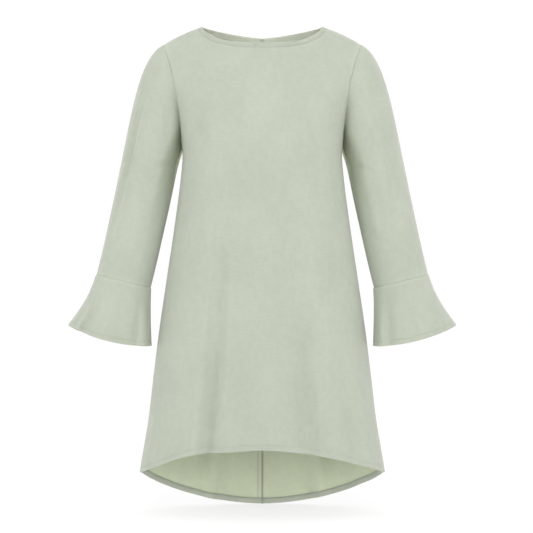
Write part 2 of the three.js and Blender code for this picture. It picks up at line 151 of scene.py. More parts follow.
CUFF_FOLDS = {
    -1: table(
        "angle width depth",
        (53, 30, 0.0140),
        (86, 40, -0.0040),
        (132, 22, 0.004),
        (152, 34, -0.006),
        (205, 36, 0.006),
        (290, 40, 0.008),
    ),
    1: table(
        "angle width depth",
        (128, 26, 0.006),
        (150, 34, -0.007),
        (66, 36, 0.003),
        (236, 40, 0.008),
        (312, 34, 0.006),
    ),
}

ARM_DEGREE = 0.00094
ARM_RUN = 0.214
ARM_CREASES = {
    -1: table(
        "angle run to_angle to_run width depth",
        (44, 0.30, 39, 1.65, 0.016, 0.0105),
        (12, 0.60, 10, 2.10, 0.016, 0.0024),
        (78, 0.30, 112, 0.75, 0.012, -0.0026),
        (150, 0.75, 90, 1.10, 0.016, 0.0026),
        (64, 1.10, 62, 1.90, 0.012, 0.0020),
        (140, 1.45, 95, 1.62, 0.012, 0.0014),
        (215, 1.20, 300, 1.40, 0.016, 0.0032),
    ),
    1: table(
        "angle run to_angle to_run width depth",
        (64, 0.60, 60, 1.45, 0.012, 0.0022),
        (155, 0.80, 90, 1.10, 0.016, 0.0022),
        (100, 1.20, 104, 1.75, 0.012, 0.0018),
        (145, 1.50, 100, 1.70, 0.012, 0.0014),
        (220, 1.25, 290, 1.50, 0.016, 0.0032),
    ),
}
ARMPIT_FOLD = table(
    "side start full ease end reach depth",
    (-1, 66, 124, 148, 178, 0.016, 0.020),
    (1, 282, 240, 212, 186, 0.014, 0.008),
    (-1, 116, 142, 154, 179, 0.085, 0.028),
    (1, 244, 218, 208, 181, 0.080, 0.006),
)
FOLD_EDGE = 0.0016

# ---- Rows and columns of the grids, closest together at the seams ----

# INNER_COLUMNS and UPPER_ROWS are a start, an end and a step; other even rows are first, last, count.
NECK_COLUMN = 7
SIDE_COLUMN = 12
COLUMN_STEP = 0.2
CENTRE_STEPS = (0, 0.2, 0.4)
EDGE_STEPS = (0, 0.015, 0.06, 0.12, 0.24, 0.4)
INNER_COLUMNS = (0.6, 11.5, COLUMN_STEP)
SKIRT_ROWS = (0, 1, 120)
UPPER_ROWS = (1.025, 1.94, 0.025)
TOP_STEPS = (0, 0.0016, 0.0065, 0.014, 0.025, 0.045)
HEAD_STEPS = (0, 0.0025, 0.012, 0.025, 0.05)
HEAD_ROWS = (0.08, 1, 46)
ARM_ROWS = (1.024, 1.97, 42)
ARM_END_STEPS = (1.982, 1.9885, 1.994, 1.9985, 2)
SEAM_ANGLES = (0, 0.35, 1.3, 2.6)
CUFF_TOP_STEPS = (0, 0.003, 0.013, 0.026, 0.045)
CUFF_ROWS = (0.07, 0.855, 26)
BINDING_BANDS = (1, 0.975, 0.93, 0.88, 0.82, 0.7, 0.55, 0.4, 0.25)
BINDING_COVER = (0.15, 0.3, 0.42)
ALLOWANCE_COLUMNS = (0.0004, 0.0012, 0.003, 0.005, 0.007, 0.008)
ALLOWANCE_ROWS = 180
# Metres to a column and to a unit of run, for distances from a seam.
COLUMN_WIDTH = 0.022
SKIRT_LENGTH = 0.6
UPPER_LENGTH = 0.2

# ---- Sewing. The stitch rows of a hem are distances from its stitches ----

HANDS = (("left", -1), ("right", 1))
HEM_BEND = 0.00135
HEM_LOW_ROWS = (0.004, 0.007)
HEM_STITCH_ROWS = (-0.001, 0, 0.0013)
HEM_CLEAR = 0.004
CUFF_BEND = 0.0012
CUFF_LOW_ROWS = (0.005, 0.003)
CUFF_STITCH_ROWS = (0.0027, 0.0013, 0, -0.0013)
HEM_ROWS = 6
HEM_STITCH_ROW = 4
HEM_TURN = (30, 60, 90, 120, 150)
STITCH_INSET = 0.0005
LIP_BLEND = 0.05
SLOW_WAVE = {"length": 1.618, "turn": 2.4, "share": 0.4}
# Puckers: their wave along the seam and their reach away from it.
PUCKERS = {
    "hem": (0.021, 0.012),
    "sleeve_head": (0.019, 0.012),
    "sleeve_end": (0.017, 0.009),
    "cuff_seam": (0.014, 0.010),
    "cuff_hem": (0.016, 0.010),
}
SLEEVE_GATHER = 1.4
BINDING_STITCH = 0.86
BINDING_PUCKER = {"wave": 0.018, "share": 0.6}
BINDING_STEP = 0.1
BINDING_LIP = 1.2
BINDING_CLEAR = 0.0006
BINDING_LAYERS = 3
ALLOWANCE_LIFT = 0.002
ALLOWANCE_CLEAR = 0.0005
ALLOWANCE_WAVE = {"wave": 0.045, "height": 0.0003}
ALLOWANCE_ROUND = {"seam": 0.0005, "edge": 0.0003}
BESIDE_STITCH = np.array((-0.001, 0, 0.001))
BESIDE_NECK_STITCH = np.array((0.04, 0, -0.04))
STITCH_WIDTH = 0.0006
STITCH_REACH = 0.38
STITCH_SINK = 0.7
STITCH_ANGLES = 160

# ---- Painted shade and painted light on the cloth. A seam weight above 0 paints shade and one below paints light ----

# How far the dip and the painted shade of a seam or stitch groove reach, and the weight of that painted
# shade.
PULLS = {
    "seam": (0.0012, 0.0016, 0.6),
    "stitches": (0.001, 0.0011, 1),
    "binding_seam": (0.0012, 0.0012, 0.8),
    "binding_stitches": (0.0009, 0.001, 0.5),
    "allowance_seam": (0.001, 0.0016, 4),
    "allowance_edge": (0.001, 0.001, 1.5),
}
# Painted light beside seams: how strongly it pales the cloth, how far it reaches on each piece, and how
# much nearer the seam it stays at the top of a cuff.
PAINTED_LIGHT = 0.42
PAINTED_LIGHT_REACH = {"body": 0.012, "sleeve": 0.004, "cuff": 0.020}
CUFF_TOP_LIGHT_NARROWING = 5
# Painted light on the turned-up rows of hems and of the binding, which lie in shade; then how strongly any
# painted light pales the cloth, and the lighter tone it pales towards.
PAINTED_HEM_LIGHT = 0.6
PAINTED_LIGHT_SHARE = -0.65
PAINTED_LIGHT_TONE = 1.35
# Painted shade inside the sleeves by the armpit: an olive tint multiplied into the cloth, how far down the
# sleeve it reaches, and the angles round the sleeve where it starts and ends.
PAINTED_SHADE_TINT = (0.92, 0.955, 0.78, 1.0)
PAINTED_SHADE_REACH = 0.13
PAINTED_SHADE_START = (105, 150)
PAINTED_SHADE_END = (255, 210)

# ---- Grain and finish of the materials ----

# Grains: clouds per metre along each axis, detail, roughness, whether flat on the cut, distortion.
GRAINS = {
    "clouds": ((14, 14, 9), 3, 0.55, False, 0),
    "mottle": ((95, 95, 70), 4, 0.6, False, 0),
    "nap": ((1500, 420, 1), 2, 0.6, True, 0),
    "crepe": ((900, 900, 1), 3, 0.65, True, 0.4),
    "slub": ((70, 300, 1), 3, 0.6, True, 0),
    "twist": ((2600, 2600, 2600), 1, 0.5, False, 0),
    "fibre": ((40, 40, 40), 3, 0.5, False, 0),
}
CLOUD_EDGES = (0.32, 0.68)
MOTTLE_EDGES = (0.3, 0.7)
CLOTH_SIDES = ("sage_cloth", "sage_wrong_side")
BINDING_SIDES = ("sage_binding", "sage_binding_inside")
TONE_SHARES = (0.34, 0.34, 0.2, 0.12)
TONE_RANGE = 0.075
HEIGHT_SHARES = (0.7, 0.3, 0.4)
CLOTH_ROUGHNESS = (0.84, 0.96)
CLOTH_FINISH = {
    "Sheen Weight": 0.12,
    "Sheen Roughness": 0.55,
    "Sheen Tint": (0.93, 0.96, 0.90, 1.0),
    "Specular IOR Level": 0.25,
    "Subsurface Weight": 0.8,
    "Subsurface Radius": (1.0, 1.0, 1.0),
    "Subsurface Scale": 0.0016,
}
THREAD_TONES = (0.88, 1.06)
THREAD_ROUGHNESS = (0.55, 0.75)
THREAD_GRAIN = 0.00005
THREAD_FINISH = {"Specular IOR Level": 0.4}
PAPER_TONES = (0.992, 1.0)
PAPER_ROUGHNESS = (0.9, 0.97)
PAPER_GRAIN = 0.0001
PAPER_FINISH = {"Specular IOR Level": 0.1, "Emission Color": (1, 1, 1, 1), "Emission Strength": 0.70}

# ---- Stage ----

FLOOR_HEIGHT = -0.9062
FLOOR_HALF = 40
WORLD_LIGHT = 1.0
STUDIO_LIGHTS = (
    ("left_light", (-2.5, -3.4, -0.5), (1.4, 1.6), 37),
    ("right_light", (2.5, -3.4, -0.5), (1.4, 1.6), 37),
    ("high_light", (0.1, -4.0, 1.3), (1.4, 1.0), 80),
)
LIGHT_TARGET = (0, 0, -0.45)
CAMERA_PLACE = (0.008, -3.8, -0.439)
CAMERA_LENS = 135.08
CAMERA_SENSOR = 36


def lerp(first, second, share):
    """A value between two others."""
    return first + (second - first) * share


def column_at(rows, name, z):
    """Value of a column of a table at a height, on a smooth curve through its rows."""
    heights, values = rows["z"], rows[name]
    last = len(heights) - 2
    row = np.sum(np.asarray(z)[..., None] < heights[1:-1], axis=-1)
    before, after = np.maximum(row - 1, 0), np.minimum(row + 2, last + 1)
    above, below = values[row], values[row + 1]
    span = heights[row + 1] - heights[row]
    slope_above = (below - values[before]) / (heights[row + 1] - heights[before])
    slope_below = (values[after] - above) / (heights[after] - heights[row])
    t = np.clip((z - heights[row]) / span, 0, 1)
    rest = 1 - t
    ends = above * rest**2 * (1 + 2 * t) + below * t**2 * (3 - 2 * t)
    return ends + span * t * rest * (slope_above * rest - slope_below * t)


def arch(share, power):
    """Height of a rounded edge curve, 1 at its middle and 0 at its ends."""
    return np.maximum(0, 1 - np.abs(share) ** power) ** (1 / power)


def edge_curve(share, middle, ends):
    """How far down a curved edge lies, 1 at its middle and 0 at its ends."""
    return np.maximum(0, 1 - share**middle) ** (1 / ends)


def bump(distance, width):
    """A soft bump, 1 at its middle and 0 beyond half its width."""
    return (1 + np.cos(np.pi * np.minimum(1, np.abs(distance) / (width / 2)))) / 2


def near(distance, reach):
    """1 at a line and fading away from it on both sides."""
    return np.exp(-((distance / reach) ** 2))


def ramp(value, start, end):
    """0 at the start and 1 at the end, with soft turns."""
    t = np.clip((value - start) / (end - start), 0, 1)
    return t * t * (3 - 2 * t)


def unit(vectors):
    return vectors / np.maximum(np.linalg.norm(vectors, axis=-1, keepdims=True), 1e-12)


def ripple(along, wave, turn=0.0):
    """An uneven wave, from -1 to 1, along a seam."""
    quick = np.sin(2 * np.pi * along / wave + turn)
    slow = np.sin(2 * np.pi * along / (wave * SLOW_WAVE["length"]) + SLOW_WAVE["turn"] * turn + 1)
    return lerp(quick, slow, SLOW_WAVE["share"])


def puckers(seam, along, away, turn=0.0, drawn=0.0):
    """Uneven puckers along a seam, which may also draw the cloth in, dying out away from it."""
    wave, reach = PUCKERS[seam]
    return (drawn + ripple(along, wave, turn)) * np.exp(-away / reach)


# ---- The surface of the dress ----


def shoulder_line(x):
    """Height of the shoulder seam, which sinks to the arm and bulges a little on the way."""
    share = (np.abs(x) - NECK_POINT[0]) / (SHOULDER_POINT[0] - NECK_POINT[0])
    bulge = SHOULDER_BULGE * np.maximum(0, 4 * share * (1 - share))
    return lerp(NECK_POINT[1], SHOULDER_POINT[1], share) + bulge


def armhole_half(side, rise):
    return lerp(UNDERARM[0], SHOULDER_POINT[0], rise ** ARMHOLE_POWER[side])


def body_section(side, across, z):
    """Depth of a level section of the body, rounded off below the shoulder line."""
    half = column_at(BODY_SECTIONS, "half", z)
    fall = np.clip((shoulder_line(across) - z) / SHOULDER_ROUND, 0, 1)
    rounded = arch(np.minimum(1, across / half), BODY_POWER) * arch(1 - fall, 2)
    return column_at(BODY_SECTIONS, side, z) * rounded


def body_depth(side, x, z):
    """Depth of the unfolded body from the plane through its side seams."""
    across = np.abs(x)
    rise = (z - UNDERARM[1]) / (SHOULDER_POINT[1] - UNDERARM[1])
    inside = np.clip(rise, 0, 1)
    edge = armhole_half(side, inside)
    shift = ARMHOLE_DEPTH[side] * 2 * np.sqrt(inside * (1 - inside)) - body_section(side, edge, z)
    turn = ARMHOLE_TURN[0] + ARMHOLE_TURN[1] * (1 - inside)
    eased = shift * (across / edge) ** turn
    return body_section(side, across, z) + np.where((rise > 0) & (rise < 1), eased, 0)


def fold_depth(side, share, z):
    """How far the long folds push the skirt in."""
    total = np.zeros_like(z)
    for top, bottom, start, end, width, depth in zip(*FOLDS[side].values()):
        run = np.clip((top - z) / (top - bottom), 0, 1)
        total += depth * np.sin(np.pi / 2 * run) ** FOLD_ONSET * bump(share - lerp(start, end, run), width)
    return total


def crease(x, z, to_x, to_z, width):
    """A soft crease from the origin to a point, 1 at its middle."""
    length = np.hypot(to_x, to_z)
    along = (x * to_x + z * to_z) / length**2
    beside = (x * to_z - z * to_x) / length
    return bump(beside, width * 2) * bump(along - 0.5, CREASE_SPAN)


def crease_depth(side, x, z):
    """How far the short creases push the cloth in."""
    total = np.zeros_like(z)
    for x0, z0, x1, z1, width, depth in zip(*CREASES[side].values()):
        total += depth * crease(x - x0, z - z0, x1 - x0, z1 - z0, width)
    return total


def body_point(side, x, z):
    """Points of the right side of the front or the back. Creases die out at the side seams."""
    half = column_at(BODY_SECTIONS, "half", z)
    depth = column_at(BODY_SECTIONS, side, z)
    y = SIGN[side] * body_depth(side, x, z)
    outward = unit(np.stack([x / half**2, y / depth**2], axis=-1))
    above = ramp(z, UNDERARM[1], UNDERARM[1] + UNDERARM_BLEND)
    inside = np.maximum(ramp(1 - np.abs(x) / half, 0, SEAM_REST), above)
    push = fold_depth(side, x / half, z) + crease_depth(side, x, z) * inside
    level = np.stack([x, y], axis=-1) - push[..., None] * outward
    return np.concatenate([level, z[..., None]], axis=-1)


def neck_point(side, turn, band):
    """Place, seen from the front, on the neck: band 0 is its finished edge and 1 the panels'."""
    half_width = NECK_POINT[0] + BINDING_WIDTH * band
    centre = NECK_POINT[1] - NECK_DROP[side] - BINDING_WIDTH * band
    share = np.sin(np.pi / 2 * turn)
    low = edge_curve(share, *NECK_POWER[side])
    return half_width * share, lerp(shoulder_line(half_width), centre, low)


def panel_points(side, columns, lift, run):
    """Points of a panel. Columns run from the centre, 0, to the side seam and armhole, 12. Rows run
    from the hem, 0, to the underarm, 1, and to the neck or shoulder, 2; lift is added at the hem."""
    across = np.abs(columns)[None, :]
    sign = np.sign(columns)[None, :]
    lift, run = lift[:, None], run[:, None]
    angle = np.pi / 2 * across / SIDE_COLUMN
    reach = np.sin(angle) ** BODY_POWER + np.abs(np.cos(angle)) ** BODY_POWER
    share = np.where(across == SIDE_COLUMN, 1, np.sin(angle) / reach ** (1 / BODY_POWER))
    hem = lerp(HEM_SIDE, HEM_CENTRE[side], edge_curve(share, *HEM_POWER[side]))
    if side == "front":
        hem = hem + HEM_LIFT["rise"] * bump(sign * share - HEM_LIFT["share"], HEM_LIFT["width"])
    skirt_z = lerp(hem + lift, UNDERARM[1], np.minimum(run, 1))
    skirt_x = share * column_at(BODY_SECTIONS, "half", skirt_z)
    neck_x, neck_z = neck_point(side, np.minimum(1, across / NECK_COLUMN), 1)
    along = np.maximum(0, (across - NECK_COLUMN) / (SIDE_COLUMN - NECK_COLUMN))
    top_x = neck_x + (SHOULDER_POINT[0] - NECK_POINT[0] - BINDING_WIDTH) * along
    top_z = np.where(along > 0, shoulder_line(top_x), neck_z)
    climb = np.clip(run - 1, 0, 1)
    rise = lerp(climb, (1 - np.cos(np.pi * climb)) / 2, (across / SIDE_COLUMN) ** 3)
    upper_x = lerp(share, top_x / SHOULDER_POINT[0], rise) * armhole_half(side, rise)
    upper_z = lerp(UNDERARM[1], top_z, rise)
    x = sign * np.where(run > 1, upper_x, skirt_x)
    return body_point(side, x, np.where(run > 1, upper_z, skirt_z))


def armhole_normal(hand, angle):
    """Direction away from the middle of the armhole. Angle 0 is the shoulder and 90 the front."""
    turn = np.radians(angle)
    lean = hand * ARMHOLE_LEAN * (1 + np.cos(turn))
    return unit(np.stack([lean, -np.sin(turn), np.cos(turn)], axis=-1))


def ring_point(hand, ring, angle):
    """Points of a ring round the arm. Angle 0 is the outside, 90 the front, 180 the inside."""
    turn, tilt = np.radians(angle), np.radians(ring["tilt"])
    across = ring["wide"] * np.cos(turn)
    x = hand * (ring["x"] + across * np.cos(tilt))
    y = ring["y"] - ring["deep"] * np.sin(turn)
    return np.stack([x, y, ring["z"] + across * np.sin(tilt)], axis=-1)


def sleeve_ring(z):
    """The ring of the sleeve whose middle is at a height."""
    ring = {name: column_at(SLEEVE_RINGS, name, z) for name in SLEEVE_RINGS}
    ring["z"] = z
    return ring


def sleeve_points(hand, angles, run):
    """Points of a sleeve. Rows run from the armhole, 0, past the head, 1, to the cuff, 2."""
    angle, run = np.broadcast_arrays(angles[None, :], run[:, None])
    cosine = np.cos(np.radians(angle))
    rise = (1 + cosine) / 2
    z = lerp(UNDERARM[1], SHOULDER_POINT[1], rise)
    front = body_point("front", hand * armhole_half("front", rise), z)
    back = body_point("back", hand * armhole_half("back", rise), z)
    start = np.where((angle % 360 <= 180)[..., None], front, back)
    heights = [z * np.ones_like(run) for z in SLEEVE_RINGS["z"][:2]]
    top, second = (ring_point(hand, sleeve_ring(height), angle) for height in heights)
    out = hand * (LEAVING["out"] + LEAVING_AT_SHOULDER["out"] * cosine)
    aside = -LEAVING["side"] * np.sin(np.radians(angle))
    down = -LEAVING["down"] - LEAVING_AT_SHOULDER["down"] * cosine
    leaving = unit(np.stack([out, aside, down], axis=-1))
    first = start + leaving * (LEAVING["reach"] + LEAVING_AT_SHOULDER["reach"] * cosine)[..., None]
    reach = ARRIVING["reach"] + ARRIVING["at_shoulder"] * cosine
    last = top + unit(top - second) * reach[..., None]
    t = np.clip(run, 0, 1)[..., None]
    head = start * (1 - t) ** 3 + 3 * first * t * (1 - t) ** 2 + 3 * last * t**2 * (1 - t) + top * t**3
    level = lerp(SLEEVE_RINGS["z"][0], SLEEVE_RINGS["z"][-1], np.clip(run - 1, 0, 1))
    arm = ring_point(hand, sleeve_ring(level), angle)
    return np.where((run > 1)[..., None], arm, head)


def cuff_points(hand, angles, back_from_hem, run):
    """Points of a cuff. Rows run from its seam, 0, to its hem, 1, less a distance back from it.
    Its folds push the front and the back of it towards each other, so its outline stays even."""
    angle, run = np.broadcast_arrays(angles[None, :], run[:, None])
    turn = np.radians(angle)
    start = ring_point(hand, sleeve_ring(SLEEVE_RINGS["z"][-1] * np.ones_like(run)), angle)
    end = ring_point(hand, CUFF_RING, angle)
    end[..., 2] -= CUFF_DIP * np.sin(turn) ** 2
    length = np.linalg.norm(end - start, axis=-1)
    t = run - back_from_hem[:, None] / length
    push = np.zeros_like(t)
    for middle, width, depth in zip(*CUFF_FOLDS[hand].values()):
        push += depth * bump((angle - middle + 180) % 360 - 180, width)
    waist = lerp(*CUFF_WAIST, (1 + np.cos(turn)) / 2)
    step = CUFF_STEP["height"] * np.minimum(1, t / CUFF_STEP["start"]) * np.exp(-t / CUFF_STEP["reach"])
    inward = waist * np.sin(np.pi * t) - step
    outward = np.stack([hand * np.cos(turn), -np.sin(turn), np.zeros_like(turn)], axis=-1)
    points = start + (end - start) * t[..., None] - outward * inward[..., None]
    points[..., 1] += np.sign(np.sin(turn)) * push * ramp(t, 0, 1)
    return points


# ---- Cloth: from a grid of points to a sewn piece ----


EDGES = {"left": (1, 0), "right": (1, -1), "start": (0, 0), "end": (0, -1)}


def line_in(edge, steps=0):
    """Picks the line of a grid that lies some steps in from an edge."""
    axis, place = EDGES[edge]
    line = place - steps if place else steps
    return np.s_[:, line] if axis else np.s_[line]


class Cloth:
    """A grid of points on the right side of a piece, with the outward direction at each."""

    def __init__(self, points, facing, closed=False):
        self.facing = facing
        along_rows = np.gradient(points, axis=0)
        if closed:
            ring = points[:, :-1]
            turned = np.roll(ring, -1, axis=1) - np.roll(ring, 1, axis=1)
            along_columns = np.concatenate([turned, turned[:, :1]], axis=1)
        else:
            along_columns = np.gradient(points, axis=1)
        self.points = points.copy()
        self.normals = unit(np.cross(along_columns, along_rows)) * facing
        self.seam = np.zeros(points.shape[:2])
        self.shelter = np.zeros(points.shape[:2])
        self.turned_edges = []

    def sink(self, depth):
        """Moves every point inwards."""
        self.points -= self.normals * depth[..., None]

    def pull(self, kind, distance, depth):
        """Sinks the cloth along a seam or a row of stitches, and paints the shade of that groove there."""
        reach, shade_reach, weight = PULLS[kind]
        self.sink(depth * near(distance, reach))
        self.seam = np.maximum(self.seam, weight * near(distance, shade_reach))

    def paint_light(self, distance, reach):
        """Paints light beside a seam: pales the cloth there, to lift sides and ridges that lie in shade."""
        self.seam = self.seam - PAINTED_LIGHT * near(distance, reach)

    def open_edges(self, *edges):
        """Moves sewn edges back into the piece by half the gap of their seams."""
        for edge in edges:
            way = unit(self.points[line_in(edge, 1)] - self.points[line_in(edge)])
            self.points[line_in(edge)] += way * SEAM_GAP / 2

    def add(self, edge, points, normals, seam):
        """Adds one line of points outside an edge."""
        axis, place = EDGES[edge]

        def join(old, new):
            new = np.expand_dims(new, axis)
            return np.concatenate([old, new] if place else [new, old], axis=axis)

        self.shelter = join(self.shelter, self.shelter[line_in(edge)])
        self.points = join(self.points, points)
        self.normals = join(self.normals, normals)
        self.seam = join(self.seam, seam)

    def line(self, edge, steps=0):
        """Points, outward directions and seam weights of the line some steps in from an edge."""
        pick = line_in(edge, steps)
        return self.points[pick], self.normals[pick], self.seam[pick]

    def add_lips(self, depth, *edges):
        """Turns sewn edges inwards, as their seam allowances do."""
        for edge in edges:
            self.add_lip(edge, depth, -self.normals[line_in(edge)])

    def add_lip(self, edge, depth, ways):
        """Turns a sewn edge along the given directions."""
        points, normals, seam = self.line(edge)
        self.turned_edges.append(edge)
        # A turned edge lies in shade, so it gets the full weight of painted seam shade.
        self.add(edge, points + ways * depth, normals, np.ones_like(seam))

    def turn_up(self, edge, rows, bend, groove=0.0):
        """Folds a hem round its edge and back over the first rows inside it, with a stitched groove."""
        base, normals, seam = self.line(edge)
        behind = [self.line(edge, row) for row in range(rows)]
        way = unit(base - behind[1][0])
        for angle in np.radians(HEM_TURN):
            out = way * bend * np.sin(angle) - normals * bend * (1 - np.cos(angle))
            self.add(edge, base + out, normals, seam)
        for row, (points, ways, weight) in enumerate(behind):
            pulled = groove if row == HEM_STITCH_ROW else 0
            # The turned-up rows get painted light, as they lie in shade inside.
            self.add(edge, points - ways * (2 * bend - 2 * pulled), ways, weight - PAINTED_HEM_LIGHT)


def grid_lengths(points):
    """Distance of each point from the first row and from the first column, along the cloth."""
    down = np.cumsum(np.linalg.norm(np.diff(points, axis=0), axis=-1), axis=0)
    round_it = np.cumsum(np.linalg.norm(np.diff(points, axis=1), axis=-1), axis=1)
    return np.pad(down, ((1, 0), (0, 0))), np.pad(round_it, ((0, 0), (1, 0)))


def from_ends(lengths):
    """Distance of each point from the nearer end of its row."""
    return np.minimum(lengths, lengths[:, -1:] - lengths)


def cut_lengths(points, level):
    """Place of each point on the flat cut: across from the middle column, up from one row."""
    u = grid_lengths(points * (1, 1, 0))[1]
    v = grid_lengths(points)[0]
    return np.stack([u - u[:, [points.shape[1] // 2]], v - v[[level]]], axis=-1)


def put(name, data):
    """An object of a mesh, a lamp or a camera, in the scene."""
    item = bpy.data.objects.new(name, data)
    bpy.context.scene.collection.objects.link(item)
    return item


def cloth_object(name, cloth, thickness, level=0, materials=CLOTH_SIDES, inner_rows=0):
    """A mesh object of a cloth grid, with its flat place as a UV map and its wall as a modifier."""
    rows, columns = cloth.points.shape[:2]
    bm = bmesh.new()
    bmesh.ops.create_grid(bm, x_segments=columns - 1, y_segments=rows - 1, size=1)
    if cloth.facing < 0:
        bmesh.ops.reverse_faces(bm, faces=bm.faces)
    mesh = bpy.data.meshes.new(name)
    bm.to_mesh(mesh)
    bm.free()
    mesh.vertices.foreach_set("co", cloth.points.reshape(-1))
    corners = np.empty(len(mesh.loops), dtype=np.int32)
    mesh.loops.foreach_get("vertex_index", corners)
    flat = cut_lengths(cloth.points, level).reshape(-1, 2)[corners]
    mesh.uv_layers.new(name="cut").data.foreach_set("uv", flat.reshape(-1))
    for mark in ("seam", "shelter"):
        weights = getattr(cloth, mark).reshape(-1)
        mesh.attributes.new(mark, "FLOAT", "POINT").data.foreach_set("value", weights)
    mesh.shade_smooth()
    ends = np.empty(len(mesh.edges) * 2, dtype=np.int32)
    mesh.edges.foreach_get("vertices", ends)
    row, column = (place.reshape(-1, 2) for place in np.divmod(ends, columns))
    sharp = np.zeros(len(row), dtype=bool)
    for edge in cloth.turned_edges:
        axis, place = EDGES[edge]
        ours, count = (column, columns) if axis else (row, rows)
        sharp |= np.all(ours == (count - 2 if place else 1), axis=1)
    mesh.attributes.new("sharp_edge", "BOOLEAN", "EDGE").data.foreach_set("value", sharp)
    mesh.update()
    for finish in materials:
        mesh.materials.append(material(finish))
    if inner_rows:
        inner = np.zeros((rows - 1, columns - 1), dtype=np.int32)
        inner[-inner_rows:] = len(materials) - 1
        mesh.polygons.foreach_set("material_index", inner.reshape(-1))
    piece = put(name, mesh)
    wall = piece.modifiers.new("wall", "SOLIDIFY")
    wall.thickness = thickness
    wall.offset = -1
    wall.use_even_offset = False
    wall.material_offset = len(materials) - 1
    wall.material_offset_rim = 0
    return piece


# ---- Panels ----


def half_columns(seam_at_centre=False):
    """Columns from the centre to the side seam, close together at each seam."""
    centre = EDGE_STEPS if seam_at_centre else CENTRE_STEPS
    return np.concatenate([centre, np.arange(*INNER_COLUMNS), SIDE_COLUMN - np.array(EDGE_STEPS[::-1])])


def full_columns():
    """Columns of the front, from side seam to side seam."""
    half = half_columns()
    return np.concatenate([-half[:0:-1], half])


def panel_rows(hem_depth):
    """Rows of a panel as lift above the hem and run."""
    hem = np.array([HEM_BEND, *HEM_LOW_ROWS, *(hem_depth - STITCH_INSET + np.array(HEM_STITCH_ROWS))])
    upper = np.append(np.arange(*UPPER_ROWS), 2 - np.array(TOP_STEPS[::-1]))
    run = np.concatenate([np.zeros(HEM_ROWS), np.linspace(*SKIRT_ROWS), upper])
    lift = np.append(hem, np.full(len(run) - HEM_ROWS, hem_depth + HEM_CLEAR))
    return lift, run


def armhole_ways(side, hand, run):
    """Directions into the seam allowance of an armhole."""
    angle = np.degrees(np.arccos(-np.cos(np.pi * np.clip(run - 1, 0, 1))))
    return -armhole_normal(hand, angle if side == "front" else 360 - angle)


def make_panel(name, side, columns, sizes):
    """One body panel: its surface, dips at its seams, stitched hem and seam allowances."""
    lift, run = panel_rows(sizes.hem_depth)
    base = panel_points(side, columns, lift, run)
    cloth = Cloth(base, -SIGN[side])
    across = np.abs(columns)[None, :]
    from_side = (SIDE_COLUMN - across) * COLUMN_WIDTH
    from_hem = (lift + run * SKIRT_LENGTH)[:, None]
    from_stitch = np.abs(from_hem - (sizes.hem_depth - STITCH_INSET))
    edges = np.minimum(from_side, np.abs(2 - run)[:, None] * UPPER_LENGTH)
    if side == "back":
        edges = np.minimum(edges, across * COLUMN_WIDTH)
    # Painted shade along the seams and the hem stitches, with their dips.
    cloth.pull("seam", edges, sizes.seam_dip)
    cloth.pull("stitches", from_stitch, sizes.stitch_dip)
    cloth.sink(-sizes.pucker * puckers("hem", grid_lengths(base)[1][:1], from_hem, columns[0]))
    # Painted light beside the side seams, lifting the shaded sides of the body.
    cloth.paint_light(from_side, PAINTED_LIGHT_REACH["body"])
    cloth.open_edges("end", "left", "right")
    cloth.turn_up("start", HEM_ROWS, HEM_BEND, sizes.stitch_dip)
    turned = len(cloth.points) - len(base)
    blend = np.clip((run - 1) / LIP_BLEND, 0, 1)[:, None]
    for edge, column in (("left", columns[0]), ("right", columns[-1])):
        ways = -cloth.line(edge)[1]
        if abs(column) == SIDE_COLUMN:
            above = armhole_ways(side, np.sign(column), run)
            ways[turned:] = unit(lerp(ways[turned:], above, blend))
        cloth.add_lip(edge, sizes.lip, ways)
    cloth.add_lips(sizes.lip, "end")
    underarm_row = turned + int(np.argmin(np.abs(run - 1)))
    return cloth_object(name, cloth, sizes.thickness, underarm_row)


# ---- Sleeves and cuffs ----


def round_angles(count):
    """Angles round a sleeve from its seam to its seam, close together there."""
    even = np.linspace(180, 540, count + 1)[1:-1]
    return np.concatenate([180 + np.array(SEAM_ANGLES), even, 540 - np.array(SEAM_ANGLES[::-1])])


def armpit_fold(angles, down):
    """How far back the sleeve folds in beside the body, in front of the underarm and behind it."""
    total = np.zeros_like(down)
    for side, start, full, ease, end, reach, depth in zip(*ARMPIT_FOLD.values()):
        weight = ramp(angles % 360, start, full) * ramp(angles % 360, end, ease)
        total -= side * depth * weight[None, :] * (1 - np.exp(-down / FOLD_EDGE)) * np.exp(-down / reach)
    return total


def arm_creases(hand, angles, run):
    """How far the creases of a sleeve push it in. They die out at the cuff."""
    total = np.zeros((len(run), len(angles)))
    for angle, start, to_angle, end, width, depth in zip(*ARM_CREASES[hand].values()):
        u = ((angles[None, :] - angle + 180) % 360 - 180) * ARM_DEGREE
        v = (run[:, None] - start) * ARM_RUN
        total += depth * crease(u, v, (to_angle - angle) * ARM_DEGREE, (end - start) * ARM_RUN, width)
    return total * ramp(2 - run, 0, SEAM_REST)[:, None]


